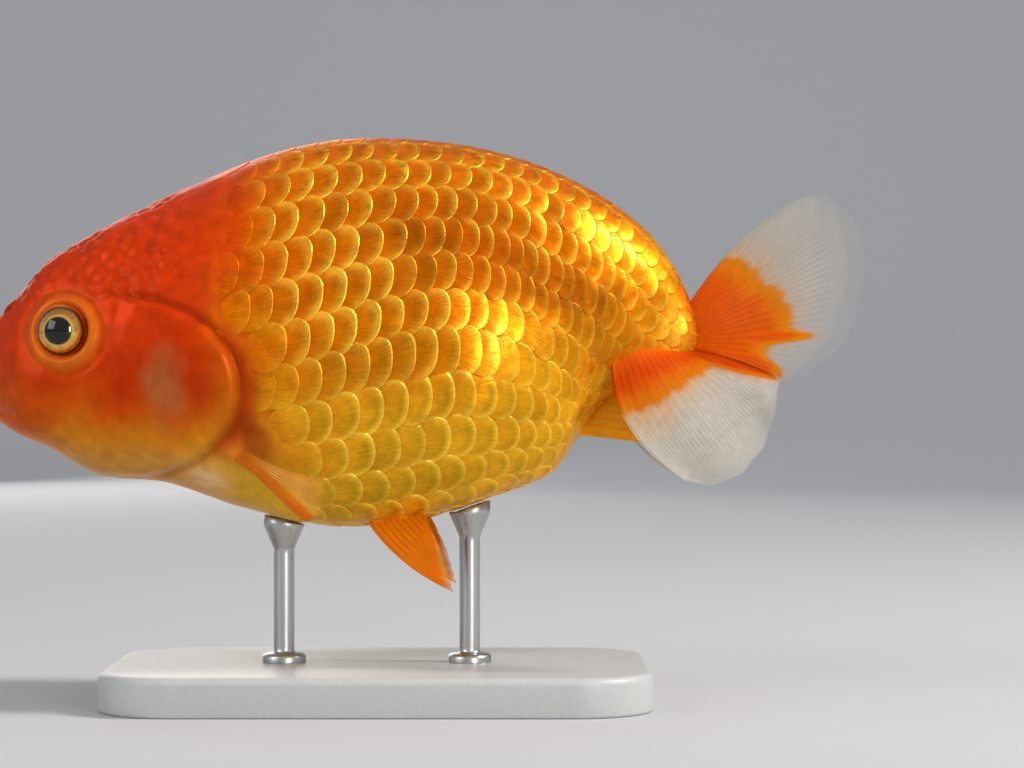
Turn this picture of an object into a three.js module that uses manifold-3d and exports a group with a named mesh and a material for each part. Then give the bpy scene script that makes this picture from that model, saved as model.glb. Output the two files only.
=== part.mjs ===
// A ranchu goldfish: a short, deep, round-backed goldfish with no dorsal fin and a double tail. It is a
// still, life-size model on a small display stand.
// Units are millimetres and +Z is up. The fish faces -X, so its left side faces -Y. The origin is the
// middle of the stand's underside.
import * as THREE from "three";
import { mergeVertices } from "three/addons/utils/BufferGeometryUtils.js";
import Module from "manifold-3d";

const wasm = await Module();
wasm.setup();

// ---------------------------------------------------------------- driving dimensions

const GAP = 0.3; // clearance between neighbouring pieces
const SIDES = { left: -1, right: 1 };

// The body is lofted along its bent spine. Each station is a slanted cut through the fish: the back
// point (x, z), the belly point (x, z) and half the width there.
const STATIONS = [
  [-61.9, 49.6, -61.9, 47.8, 0.4],
  [-61.0, 53.8, -60.6, 44.9, 6.0],
  [-57.6, 60.6, -56.0, 41.6, 11.2],
  [-51.6, 67.0, -50.4, 39.2, 14.8],
  [-43.8, 72.7, -43.6, 35.3, 17.6],
  [-32.6, 78.5, -33.2, 34.1, 19.8],
  [-20.0, 84.4, -21.6, 30.3, 21.6],
  [-6.0, 87.6, -7.6, 27.2, 22.3],
  [9.0, 87.3, 6.4, 28.3, 21.8],
  [22.0, 84.6, 17.8, 31.8, 19.6],
  [33.0, 79.8, 26.6, 35.4, 16.0],
  [41.4, 73.7, 30.6, 40.6, 12.2],
  [46.2, 67.3, 33.6, 44.6, 9.3],
  [48.9, 61.6, 37.2, 47.6, 7.0],
  [50.7, 56.6, 43.6, 50.0, 4.4],
  [50.2, 53.6, 48.2, 52.0, 0.5],
];
const SQUARENESS_HEAD = 2.45; // exponent of the cross-section, where 2 is a plain ellipse
const SQUARENESS_BODY = 2.1;
const WIDEST_AT = 0.46; // height of the widest point, as a share of the section from the belly
const HEAD_END = 5.6; // the station number at which the head's squareness has faded away
const BODY_ROWS = 37;
const BODY_COLUMNS = 28;

// Soft swellings and hollows of the skin: centre (x, y on either side, z), radius and height.
const SWELLINGS = [
  [-50, 9, 68, 7.5, 1.1], // crown
  [-41, 11, 72, 7.0, 0.9], // back of the crown
  [-52, 13, 50, 6.5, 1.1], // cheek under the eye
  [-57.5, 5, 58.5, 4.0, 0.8], // snout beside the nostrils
  [15, 20, 49, 17, 1.4], // full belly
  [32, 10, 50, 9, -1.1], // hollow between the belly and the tail stalk
  [23, 17, 68, 10, -0.8], // shallow valley between the belly and the back
];

const EYE = { x: -47.0, z: 57.4, radius: 4.6, stand_out: 1.8 };
const LIPS = { x: -61.6, z: 48.4, half_width: 3.6, half_height: 1.9, thickness: 1.25, tilt: 0.28 };

// The gill cover is a D seen from the side: a straight front edge and half an ellipse behind it.
const GILL_COVER = { front_x: -38.0, z: 48.8, length: 17.4, half_height: 13.4, rise: 0.35, depth: 0.9 };

const NECK_CUT = { x: -29.5, lean: 0.12 }; // where the head meets the trunk
const STALK_CUT = { station: 11.3 }; // where the trunk meets the tail stalk

const FIN_ROOT_THICKNESS = 1.3;
const FIN_EDGE_THICKNESS = 0.6;

const STAND = { length: 84, width: 52, height: 6, bevel: 1.2, corner: 12 };
const ROD = { radius: 1.6, cup_radius: 3.2, cup_height: 4.5, foot_radius: 3.4, foot_height: 1.4 };
const ROD_PLACES = { front: { x: -15, belly: 28.4 }, rear: { x: 14, belly: 31 } };
const ROD_SINK = 12; // how far the uncut rod reaches into the belly before it is trimmed

// Each fin is a fan of rays between a root line and a rim line, both given for the right-hand side as
// [x, y, z]. "bend" bows each ray at its two edges and its middle.
const FINS = {
  tail_upper: {
    root: [[47.4, 1.2, 60.4], [49.0, 1.9, 57.6], [48.6, 3.0, 54.7]],
    rim: [
      [64.8, 4.1, 78.1], [67.6, 5.1, 79.0], [70.8, 6.7, 77.7], [73.3, 8.6, 74.1], [74.6, 10.7, 68.4],
      [73.5, 11.9, 61.6], [69.8, 12.8, 54.2], [63.2, 12.2, 49.3],
    ],
    bend: [[-2.1, -0.4, 2.3], [0, 1.6, 0.5], [0, 2.2, 1.6]],
    ripple: 0.55,
    waves: 2.5,
    across: 16,
    along: 5,
  },
  tail_lower: {
    root: [[49.0, 2.5, 54.5], [46.4, 4.7, 54.2], [43.0, 6.8, 54.3], [39.4, 8.7, 53.7], [35.8, 10.0, 51.2]],
    rim: [
      [61.4, 11.3, 50.2], [60.6, 14.4, 45.6], [59.4, 16.0, 41.4], [57.0, 17.3, 37.6],
      [53.4, 18.4, 34.9], [49.8, 19.2, 34.1], [46.6, 19.6, 34.9],
    ],
    bend: [[0, 1.3, 1.8], [-1.0, 3.4, 0.8], [-5.4, 1.8, -1.1]],
    ripple: 0.5,
    waves: 2,
    across: 16,
    along: 5,
  },
  pectoral_fin: {
    root: [[-20.5, 18.1, 40.3], [-21.3, 17.6, 39.4], [-21.8, 17.0, 38.5]],
    rim: [[-6.9, 20.4, 35.2], [-7.2, 21.0, 32.2], [-8.3, 21.2, 29.2], [-10.7, 20.6, 28.8], [-12.9, 19.4, 30.3]],
    bend: [[-0.2, 2.0, -2.0], [0.2, 2.2, 0], [0.7, 2.2, 1.6]],
    ripple: 0.3,
    waves: 2,
    across: 9,
    along: 4,
  },
  pelvic_fin: {
    root: [[-2.4, 5.6, 29.2], [1.8, 5.8, 29.6], [6.0, 5.6, 31.0]],
    rim: [[11.7, 10.4, 17.6], [11.0, 10.2, 20.2], [10.0, 9.8, 23.4], [8.6, 9.0, 26.4]],
    bend: [[-2.4, 1.0, -1.6], [-0.6, 1.2, -0.6], [0.2, 1.0, 0]],
    ripple: 0.25,
    waves: 2,
    across: 9,
    along: 4,
  },
  anal_fin: {
    root: [[29.8, 1.4, 41.5], [33.9, 1.9, 46.0], [38.0, 2.0, 49.2]],
    rim: [[43.4, 4.4, 40.0], [46.0, 4.9, 42.2], [46.0, 4.8, 45.0], [44.2, 4.2, 47.6]],
    bend: [[0, 0.5, 0.2], [0, 0.6, 0], [0, 0.4, 0.4]],
    ripple: 0.2,
    waves: 1.5,
    across: 7,
    along: 4,
  },
};

const COLOURS = {
  skin: { color: 0xd0750d, roughness: 0.35, metalness: 0.15 },
  fin: { color: 0xd8a070, roughness: 0.4, metalness: 0 },
  red_fin: { color: 0xd4730b, roughness: 0.4, metalness: 0 },
  eye: { color: 0x0c0a08, roughness: 0.08, metalness: 0 },
  base: { color: 0xc9c9c6, roughness: 0.45, metalness: 0 },
  rod: { color: 0xb8b8b4, roughness: 0.3, metalness: 0.9 },
};

// ---------------------------------------------------------------- solids

/** A manifold-3d solid from vertices and triangles, turned to face outwards. */
function solidFrom(vertices, triangles) {
  const geometry = new THREE.BufferGeometry();
  geometry.setAttribute("position", new THREE.Float32BufferAttribute(vertices, 3));
  geometry.setIndex(triangles);
  return solidOf(geometry);
}

/** A manifold-3d solid from a closed three.js geometry. */
function solidOf(source) {
  const geometry = source.clone();
  geometry.deleteAttribute("normal");
  geometry.deleteAttribute("uv");
  const merged = mergeVertices(geometry, 1e-4);
  const position = merged.getAttribute("position");
  const index = Array.from(merged.index.array);
  let volume = 0;
  const [a, b, c] = [new THREE.Vector3(), new THREE.Vector3(), new THREE.Vector3()];
  for (let i = 0; i < index.length; i += 3) {
    a.fromBufferAttribute(position, index[i]);
    b.fromBufferAttribute(position, index[i + 1]);
    c.fromBufferAttribute(position, index[i + 2]);
    volume += a.dot(b.cross(c));
  }
  if (volume < 0) {
    index.reverse();
  }
  return new wasm.Manifold(new wasm.Mesh({
    numProp: 3,
    vertProperties: new Float32Array(position.array),
    triVerts: new Uint32Array(index),
  }));
}

/** The largest connected part of a solid. */
function largestPart(solid) {
  const parts = solid.decompose();
  return parts.reduce((best, part) => (part.volume() > best.volume() ? part : best));
}

/** A named three.js mesh from a manifold-3d solid. */
function meshOf(name, solid, material) {
  const made = solid.getMesh();
  const geometry = new THREE.BufferGeometry();
  geometry.setAttribute("position", new THREE.Float32BufferAttribute(made.vertProperties, 3));
  geometry.setIndex(new THREE.BufferAttribute(made.triVerts, 1));
  geometry.computeVertexNormals();
  const mesh = new THREE.Mesh(geometry, new THREE.MeshStandardMaterial(material));
  mesh.name = name;
  return mesh;
}

// ---------------------------------------------------------------- body surface

/** One number of the stations at a fractional station number, on a Catmull-Rom curve. */
function stationValue(column, station) {
  const last = STATIONS.length - 1;
  const i = Math.min(Math.floor(station), last - 1);
  const f = station - i;
  const at = (k) => STATIONS[Math.min(Math.max(k, 0), last)][column];
  const [p0, p1, p2, p3] = [at(i - 1), at(i), at(i + 1), at(i + 2)];
  return 0.5 * (2 * p1 + (p2 - p0) * f + (2 * p0 - 5 * p1 + 4 * p2 - p3) * f * f
    + (3 * p1 - p0 - 3 * p2 + p3) * f * f * f);
}

const smoothstep = (low, high, x) => {
  const f = Math.min(Math.max((x - low) / (high - low), 0), 1);
  return f * f * (3 - 2 * f);
};

/** A point of the smooth body. The angle runs from 0 at the back to PI at the belly, and is negative
 *  on the left side. */
function smoothBody(station, angle) {
  const topX = stationValue(0, station);
  const topZ = stationValue(1, station);
  const lowX = stationValue(2, station);
  const lowZ = stationValue(3, station);
  const halfWidth = Math.max(stationValue(4, station), 0.05);
  const squareness = THREE.MathUtils.lerp(
    SQUARENESS_HEAD, SQUARENESS_BODY, smoothstep(2, HEAD_END, station));
  const power = 2 / squareness;
  const c = Math.cos(angle);
  const s = Math.sin(angle);
  const level = 0.5 * (1 + Math.sign(c) * Math.abs(c) ** power);
  const height = level ** (Math.log(WIDEST_AT) / Math.log(0.5));
  return new THREE.Vector3(
    lowX + (topX - lowX) * height,
    Math.sign(s) * halfWidth * Math.abs(s) ** power,
    lowZ + (topZ - lowZ) * height,
  );
}

/** How far the swellings raise the skin at a point. */
function swelling(point) {
  let sum = 0;
  for (const [x, y, z, radius, height] of SWELLINGS) {
    const squared = (point.x - x) ** 2 + (Math.abs(point.y) - y) ** 2 + (point.z - z) ** 2;
    sum += height * Math.exp(-squared / (radius * radius * 0.5));
  }
  return sum;
}

/** The outward normal of the smooth body. */
function bodyNormal(station, angle) {
  const last = STATIONS.length - 1;
  const step = 0.02;
  const lengthwise = smoothBody(Math.min(station + step, last), angle)
    .sub(smoothBody(Math.max(station - step, 0), angle));
  const around = smoothBody(station, angle + step).sub(smoothBody(station, angle - step));
  return lengthwise.cross(around).normalize();
}

/** A point of the body's skin, moved outwards by grow. */
function bodyPoint(station, angle, grow = 0) {
  const point = smoothBody(station, angle);
  return point.clone().addScaledVector(bodyNormal(station, angle), swelling(point) + grow);
}

/** The whole body as one closed solid, grown by an even amount. */
function bodySolid(grow) {
  const last = STATIONS.length - 1;
  const vertices = [];
  const triangles = [];
  const snout = smoothBody(0, 0).lerp(smoothBody(0, Math.PI), 0.5);
  snout.x -= grow;
  vertices.push(...snout.toArray());
  for (let row = 0; row <= BODY_ROWS; row++) {
    const station = (row / BODY_ROWS) * (last - 0.3) + 0.12;
    for (let column = 0; column < BODY_COLUMNS; column++) {
      const angle = ((column + 0.5) / BODY_COLUMNS) * 2 * Math.PI - Math.PI;
      vertices.push(...bodyPoint(station, angle, grow).toArray());
    }
  }
  const tip = smoothBody(last, 0).lerp(smoothBody(last, Math.PI), 0.5);
  tip.x += grow;
  vertices.push(...tip.toArray());
  const id = (row, column) => 1 + row * BODY_COLUMNS + (column % BODY_COLUMNS);
  const end = vertices.length / 3 - 1;
  for (let column = 0; column < BODY_COLUMNS; column++) {
    triangles.push(0, id(0, column), id(0, column + 1));
    for (let row = 0; row < BODY_ROWS; row++) {
      const [a, b, c, d] = [
        id(row, column), id(row, column + 1), id(row + 1, column + 1), id(row + 1, column),
      ];
      triangles.push(a, c, b, a, d, c);
    }
    triangles.push(end, id(BODY_ROWS, column + 1), id(BODY_ROWS, column));
  }
  return solidFrom(vertices, triangles);
}

/** The body's half width at a place in side view, found by walking over the surface. */
function halfWidthAt(x, z) {
  let best = { miss: Infinity, y: 0 };
  for (let station = 0.5; station < STATIONS.length - 1.5; station += 0.05) {
    for (let angle = 0.3; angle < Math.PI - 0.3; angle += 0.03) {
      const point = bodyPoint(station, angle);
      const miss = Math.hypot(point.x - x, point.z - z);
      if (miss < best.miss) best = { miss, y: point.y };
    }
  }
  return best.y;
}

/** A wide slab that keeps what lies beyond a cutting plane, given by a point and its normal. */
function halfSpace(point, normal) {
  const size = 200;
  const box = new THREE.BoxGeometry(size, size, size);
  box.translate(0, 0, size / 2);
  box.applyQuaternion(new THREE.Quaternion().setFromUnitVectors(new THREE.Vector3(0, 0, 1), normal));
  box.translate(point.x, point.y, point.z);
  return solidOf(box);
}

/** Splits a solid in two with a thin cut. */
function partWithCut(solid, point, normal) {
  const offset = normal.clone().multiplyScalar(GAP / 2);
  const beyond = halfSpace(point.clone().add(offset), normal);
  const before = halfSpace(point.clone().sub(offset), normal.clone().negate());
  return [solid.intersect(before), solid.intersect(beyond)];
}

// ---------------------------------------------------------------- head pieces

/** The eyeball, sunk into the head. */
function eyeSolid(side, grow) {
  const ball = new THREE.SphereGeometry(EYE.radius + grow, 16, 9);
  const depth = halfWidthAt(EYE.x, EYE.z) + EYE.stand_out - EYE.radius;
  ball.rotateX(Math.PI / 2);
  ball.translate(EYE.x, side * depth, EYE.z);
  return solidOf(ball);
}

/** The lips: a flattened ring round the small mouth. */
function lipsSolid(grow) {
  const ring = new THREE.TorusGeometry(1, 0.5, 7, 18);
  const position = ring.getAttribute("position");
  for (let i = 0; i < position.count; i++) {
    const [x, y, z] = [position.getX(i), position.getY(i), position.getZ(i)];
    const reach = Math.hypot(x, y);
    const [ux, uy] = [x / reach, y / reach];
    const tube = LIPS.thickness + grow;
    const out = (reach - 1) * 2 * tube;
    const across = ux * (LIPS.half_width + out);
    const up = uy * (LIPS.half_height + out);
    position.setXYZ(i, -z * 2 * tube * 1.1, across, up);
  }
  ring.rotateY(LIPS.tilt);
  ring.translate(LIPS.x, 0, LIPS.z);
  return solidOf(ring);
}

/** A column along Y over one side of the fish, whose outline is the gill cover's D. */
function gillColumn(side, grow) {
  const shape = new THREE.Shape();
  const corner = 3;
  const left = -grow;
  const reach = GILL_COVER.length + grow;
  const high = GILL_COVER.half_height + grow;
  shape.moveTo(left, high - corner);
  shape.quadraticCurveTo(left, high, corner, high * 0.985);
  const steps = 12;
  for (let i = 1; i < steps; i++) {
    const angle = Math.PI / 2 - (i / steps) * Math.PI;
    if (reach * Math.cos(angle) > corner) {
      shape.lineTo(reach * Math.cos(angle), high * Math.sin(angle));
    }
  }
  shape.lineTo(corner, -high * 0.985);
  shape.quadraticCurveTo(left, -high, left, corner - high);
  const column = new THREE.ExtrudeGeometry(shape, { depth: 30, bevelEnabled: false, curveSegments: 4 });
  column.rotateX(Math.PI / 2);
  column.translate(GILL_COVER.front_x, side > 0 ? 34 : -4, GILL_COVER.z);
  return solidOf(column);
}

// ---------------------------------------------------------------- fins

/** A curve through points, mirrored to one side of the fish. */
function sidedCurve(points, side) {
  return new THREE.CatmullRomCurve3(points.map(([x, y, z]) => new THREE.Vector3(x, side * y, z)));
}

/** A fin: a fan of bowed rays between a root and a rim, thick at the root and thin at the rim. */
function finSolid(fin, side) {
  const root = sidedCurve(fin.root, side);
  const rim = sidedCurve(fin.rim, side);
  const bend = sidedCurve(fin.bend, side);
  const middle = (across, along) => {
    const a = root.getPoint(across);
    const c = rim.getPoint(across);
    const b = a.clone().lerp(c, 0.5).add(bend.getPoint(across));
    const point = a.multiplyScalar((1 - along) ** 2)
      .addScaledVector(b, 2 * along * (1 - along))
      .addScaledVector(c, along * along);
    point.y += side * fin.ripple * along * along * Math.sin(2 * Math.PI * fin.waves * across);
    return point;
  };
  const vertices = [];
  const step = 0.01;
  for (const face of [1, -1]) {
    for (let i = 0; i <= fin.across; i++) {
      const across = i / fin.across;
      for (let j = 0; j <= fin.along; j++) {
        const along = j / fin.along;
        const lengthwise = middle(across, Math.min(along + step, 1))
          .sub(middle(across, Math.max(along - step, 0)));
        const crosswise = middle(Math.min(across + step, 1), along)
          .sub(middle(Math.max(across - step, 0), along));
        const normal = crosswise.cross(lengthwise).normalize();
        const thickness = THREE.MathUtils.lerp(FIN_ROOT_THICKNESS, FIN_EDGE_THICKNESS, along ** 0.6);
        vertices.push(...middle(across, along).addScaledVector(normal, (face * thickness) / 2).toArray());
      }
    }
  }
  const rows = fin.along + 1;
  const back = (fin.across + 1) * rows;
  const id = (i, j) => i * rows + j;
  const triangles = [];
  const quad = (a, b, c, d) => triangles.push(a, b, c, a, c, d);
  for (let i = 0; i < fin.across; i++) {
    for (let j = 0; j < fin.along; j++) {
      quad(id(i, j), id(i + 1, j), id(i + 1, j + 1), id(i, j + 1));
      quad(back + id(i, j + 1), back + id(i + 1, j + 1), back + id(i + 1, j), back + id(i, j));
    }
    quad(id(i, 0), back + id(i, 0), back + id(i + 1, 0), id(i + 1, 0));
    quad(id(i + 1, fin.along), back + id(i + 1, fin.along), back + id(i, fin.along), id(i, fin.along));
  }
  for (let j = 0; j < fin.along; j++) {
    quad(id(0, j + 1), back + id(0, j + 1), back + id(0, j), id(0, j));
    quad(id(fin.across, j), back + id(fin.across, j), back + id(fin.across, j + 1), id(fin.across, j + 1));
  }
  return solidFrom(vertices, triangles);
}

// ---------------------------------------------------------------- display stand

/** The stand's base: a rounded slab with a bevelled upper edge. */
function baseSolid() {
  const { length, width, height, bevel, corner } = STAND;
  const [hx, hy] = [length / 2 - bevel, width / 2 - bevel];
  const shape = new THREE.Shape();
  shape.moveTo(corner - hx, -hy);
  shape.lineTo(hx - corner, -hy);
  shape.absarc(hx - corner, corner - hy, corner, -Math.PI / 2, 0);
  shape.lineTo(hx, hy - corner);
  shape.absarc(hx - corner, hy - corner, corner, 0, Math.PI / 2);
  shape.lineTo(corner - hx, hy);
  shape.absarc(corner - hx, hy - corner, corner, Math.PI / 2, Math.PI);
  shape.lineTo(-hx, corner - hy);
  shape.absarc(corner - hx, corner - hy, corner, Math.PI, 1.5 * Math.PI);
  const slab = new THREE.ExtrudeGeometry(shape, {
    depth: height - 2 * bevel,
    bevelEnabled: true,
    bevelSize: bevel,
    bevelThickness: bevel,
    bevelSegments: 1,
    curveSegments: 5,
  });
  slab.translate(0, 0, bevel);
  return solidOf(slab);
}

/** A rod with a small foot on the base and a cup that carries the belly. */
function rodSolid(x, belly) {
  const top = belly + ROD_SINK;
  const cup = belly - ROD.cup_height;
  const profile = [
    [0, STAND.height],
    [ROD.foot_radius, STAND.height],
    [ROD.foot_radius, STAND.height + ROD.foot_height * 0.6],
    [ROD.foot_radius - 0.5, STAND.height + ROD.foot_height],
    [ROD.radius, STAND.height + ROD.foot_height],
    [ROD.radius, cup],
    [ROD.cup_radius, belly - 0.8],
    [ROD.cup_radius, top],
    [0, top],
  ];
  const rod = new THREE.LatheGeometry(profile.map(([r, z]) => new THREE.Vector2(r, z)), 14);
  rod.rotateX(Math.PI / 2);
  rod.translate(x, 0, 0);
  return solidOf(rod);
}

// ---------------------------------------------------------------- the model

const fish = new THREE.Group();
const stand = new THREE.Group();

const wholeBody = bodySolid(0);
const grownBody = bodySolid(GAP);
const raisedBody = bodySolid(GILL_COVER.rise);
const sunkBody = bodySolid(-GILL_COVER.depth);
const deepBody = bodySolid(-GILL_COVER.depth - GAP);

let flesh = wholeBody.subtract(lipsSolid(GAP));
for (const [name, side] of Object.entries(SIDES)) {
  const eye = eyeSolid(side, 0);
  flesh = flesh.subtract(eyeSolid(side, GAP));
  fish.add(meshOf(`eye_${name}`, eye, COLOURS.eye));

  const cover = raisedBody.subtract(sunkBody).intersect(gillColumn(side, 0));
  const recess = gillColumn(side, GAP).subtract(deepBody);
  flesh = flesh.subtract(recess);
  fish.add(meshOf(`gill_cover_${name}`, largestPart(cover), COLOURS.skin));
}
fish.add(meshOf("lips", lipsSolid(0), COLOURS.skin));

const neckNormal = new THREE.Vector3(1, 0, NECK_CUT.lean).normalize();
const [head, behindHead] = partWithCut(flesh, new THREE.Vector3(NECK_CUT.x, 0, GILL_COVER.z), neckNormal);

const stalkTop = bodyPoint(STALK_CUT.station, 0);
const stalkLow = bodyPoint(STALK_CUT.station, Math.PI);
const stalkMiddle = stalkTop.clone().lerp(stalkLow, 0.5);
const stalkUp = stalkTop.clone().sub(stalkLow);
const stalkNormal = new THREE.Vector3(stalkUp.z, 0, -stalkUp.x).normalize();
const [trunk, stalk] = partWithCut(behindHead, stalkMiddle, stalkNormal);

fish.add(meshOf("head", largestPart(head), COLOURS.skin));
fish.add(meshOf("trunk", largestPart(trunk), COLOURS.skin));
fish.add(meshOf("tail_stalk", largestPart(stalk), COLOURS.skin));

for (const [finName, fin] of Object.entries(FINS)) {
  const material = finName.startsWith("tail") ? COLOURS.fin : COLOURS.red_fin;
  for (const [name, side] of Object.entries(SIDES)) {
    let solid = finSolid(fin, side).subtract(grownBody);
    if (finName === "tail_lower") solid = solid.subtract(finSolid(FINS.tail_upper, side));
    fish.add(meshOf(`${finName}_${name}`, largestPart(solid), material));
  }
}

stand.add(meshOf("stand_base", baseSolid(), COLOURS.base));
for (const [name, { x, belly }] of Object.entries(ROD_PLACES)) {
  const solid = largestPart(rodSolid(x, belly).subtract(grownBody));
  stand.add(meshOf(`stand_rod_${name}`, solid, COLOURS.rod));
}

const part = new THREE.Group();
part.add(fish, stand);
export default part;
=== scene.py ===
"""The looks of the ranchu goldfish: one skin, its scales, rayed fins, eyes and the display stand.

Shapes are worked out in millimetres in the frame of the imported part: +Z is up, the fish faces -X and its
left flank faces -Y. They turn into metres when a mesh is made.
"""

import math

import bmesh
import bpy
import numpy as np
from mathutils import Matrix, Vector
from numpy.linalg import norm


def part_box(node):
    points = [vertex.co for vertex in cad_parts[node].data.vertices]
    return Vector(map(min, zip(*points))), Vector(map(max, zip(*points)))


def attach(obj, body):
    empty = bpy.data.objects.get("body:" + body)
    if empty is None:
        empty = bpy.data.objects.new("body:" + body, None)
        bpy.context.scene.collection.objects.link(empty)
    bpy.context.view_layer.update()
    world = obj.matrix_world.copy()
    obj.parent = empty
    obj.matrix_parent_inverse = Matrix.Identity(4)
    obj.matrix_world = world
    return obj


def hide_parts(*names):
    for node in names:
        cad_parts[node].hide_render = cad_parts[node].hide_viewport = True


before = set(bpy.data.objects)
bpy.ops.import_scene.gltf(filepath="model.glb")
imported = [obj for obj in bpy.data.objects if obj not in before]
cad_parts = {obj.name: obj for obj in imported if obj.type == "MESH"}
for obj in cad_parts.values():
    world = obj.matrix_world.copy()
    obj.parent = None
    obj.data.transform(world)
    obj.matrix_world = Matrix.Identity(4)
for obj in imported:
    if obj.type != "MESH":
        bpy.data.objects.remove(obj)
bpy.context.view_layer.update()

rng = np.random.default_rng(7)
SIDES = {"left": -1, "right": 1}

# ---- dimensions shared with the solids

# Slanted sections of the body: back point (x, z), belly point (x, z), half width.
STATIONS = np.array([
    [-61.9, 49.6, -61.9, 47.8, 0.4],
    [-61.0, 53.8, -60.6, 44.9, 6.0],
    [-57.6, 60.6, -56.0, 41.6, 11.2],
    [-51.6, 67.0, -50.4, 39.2, 14.8],
    [-43.8, 72.7, -43.6, 35.3, 17.6],
    [-32.6, 78.5, -33.2, 34.1, 19.8],
    [-20.0, 84.4, -21.6, 30.3, 21.6],
    [-6.0, 87.6, -7.6, 27.2, 22.3],
    [9.0, 87.3, 6.4, 28.3, 21.8],
    [22.0, 84.6, 17.8, 31.8, 19.6],
    [33.0, 79.8, 26.6, 35.4, 16.0],
    [41.4, 73.7, 30.6, 40.6, 12.2],
    [46.2, 67.3, 33.6, 44.6, 9.3],
    [48.9, 61.6, 37.2, 47.6, 7.0],
    [50.7, 56.6, 43.6, 50.0, 4.4],
    [50.2, 53.6, 48.2, 52.0, 0.5],
])
LAST = len(STATIONS) - 1
SQUARENESS = (2.45, 2.1)  # of the cross-section, at the snout and behind the head
HEAD_END = 5.6
WIDEST_AT = 0.46

# Soft swellings and hollows: x, y on either side, z, radius, height.
SWELLINGS = [
    (-50, 9, 68, 7.5, 1.1),
    (-41, 11, 72, 7.0, 0.9),
    (-52, 13, 50, 6.5, 1.1),
    (-57.5, 5, 58.5, 4.0, 0.8),
    (15, 20, 49, 17, 1.4),
    (32, 10, 50, 9, -1.1),
    (23, 17, 68, 10, -0.8),
]

EYE = dict(x=-47.0, z=57.4, radius=4.6)
GILL_X, GILL_Z, GILL_LENGTH, GILL_HEIGHT = -38.0, 48.8, 17.4, 13.4  # front end, middle, reach, half height
NOSTRIL = dict(place=(-56.2, 7.1, 61.2), axis=(-0.747, 0.327, 0.579))

# Rings from inside the mouth, over the lips, out to the snout: x, half width, half height.
MOUTH = [
    (-57.5, 0.02, 0.02), (-58.6, 1.7, 0.45), (-60.9, 2.2, 0.6), (-62.5, 2.5, 0.75),
    (-63.2, 3.2, 1.4), (-63.1, 4.0, 2.25), (-62.4, 4.65, 2.95), (-61.8, 4.95, 3.35),
]
MOUTH_Z = 48.5

# Folds of the head, as side-view lines of (x, z) corners.
CHEEK_FOLD = [(-38, 61), (-39.6, 56), (-40.6, 51), (-41.4, 46), (-44, 42), (-48, 39.5)]
JAW_FOLD = [(-41.4, 46), (-37, 43.6), (-32, 41.8), (-27, 38.6)]
MOUTH_CORNER = [(-60.3, 46.6), (-57.5, 44.8), (-56, 44.6)]

FINS = {
    "tail_upper": dict(
        root=[(47.4, 1.2, 60.4), (49.0, 1.9, 57.6), (48.6, 3.0, 54.7)],
        rim=[(64.8, 4.1, 78.1), (67.6, 5.1, 79.0), (70.8, 6.7, 77.7), (73.3, 8.6, 74.1), (74.6, 10.7, 68.4),
             (73.5, 11.9, 61.6), (69.8, 12.8, 54.2), (63.2, 12.2, 49.3)],
        bend=[(-2.1, -0.4, 2.3), (0, 1.6, 0.5), (0, 2.2, 1.6)],
        ripple=0.55, waves=2.5, rays=19, samples=(250, 60),
    ),
    "tail_lower": dict(
        root=[(49.0, 2.5, 54.5), (46.4, 4.7, 54.2), (43.0, 6.8, 54.3), (39.4, 8.7, 53.7), (35.8, 10.0, 51.2)],
        rim=[(61.4, 11.3, 50.2), (60.6, 14.4, 45.6), (59.4, 16.0, 41.4), (57.0, 17.3, 37.6),
             (53.4, 18.4, 34.9), (49.8, 19.2, 34.1), (46.6, 19.6, 34.9)],
        bend=[(0, 1.3, 1.8), (-1.0, 3.4, 0.8), (-5.4, 1.8, -1.1)],
        ripple=0.5, waves=2, rays=18, samples=(250, 56),
    ),
    "pectoral_fin": dict(
        root=[(-20.5, 18.1, 40.3), (-21.3, 17.6, 39.4), (-21.8, 17.0, 38.5)],
        rim=[(-6.9, 20.4, 35.2), (-7.2, 21.0, 32.2), (-8.3, 21.2, 29.2), (-10.7, 20.6, 28.8),
             (-12.9, 19.4, 30.3)],
        bend=[(-0.2, 2.0, -2.0), (0.2, 2.2, 0), (0.7, 2.2, 1.6)],
        ripple=0.3, waves=2, rays=13, samples=(130, 44),
    ),
    "pelvic_fin": dict(
        root=[(-2.4, 5.6, 29.2), (1.8, 5.8, 29.6), (6.0, 5.6, 31.0)],
        rim=[(11.7, 10.4, 17.6), (11.0, 10.2, 20.2), (10.0, 9.8, 23.4), (8.6, 9.0, 26.4)],
        bend=[(-2.4, 1.0, -1.6), (-0.6, 1.2, -0.6), (0.2, 1.0, 0)],
        ripple=0.25, waves=2, rays=9, samples=(110, 44),
    ),
    "anal_fin": dict(
        root=[(29.8, 1.4, 41.5), (33.9, 1.9, 46.0), (38.0, 2.0, 49.2)],
        rim=[(43.4, 4.4, 40.0), (46.0, 4.9, 42.2), (46.0, 4.8, 45.0), (44.2, 4.2, 47.6)],
        bend=[(0, 0.5, 0.2), (0, 0.6, 0), (0, 0.4, 0.4)],
        ripple=0.2, waves=1.5, rays=8, samples=(90, 40),
    ),
}

STAND = dict(length=84, width=52, height=6, bevel=1.2, corner=12)
ROD = dict(radius=1.6, cup_radius=3.2, foot_radius=3.4)
ROD_PLACES = {"front": -15, "rear": 14}

SKIN_SPAN = (1.05, 6.4, 14.95)  # stations of the snout, the end of the finely netted front, the stalk's end
COAT_DEPTH = 0.45  # how far the skin lies inside the solids under the scales
FIN_SUNK = 0.07  # how far a fin's root reaches into the flesh, as a share of its rays
VENT = (30.8, 0, 41.5)

# ---- small helpers


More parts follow.
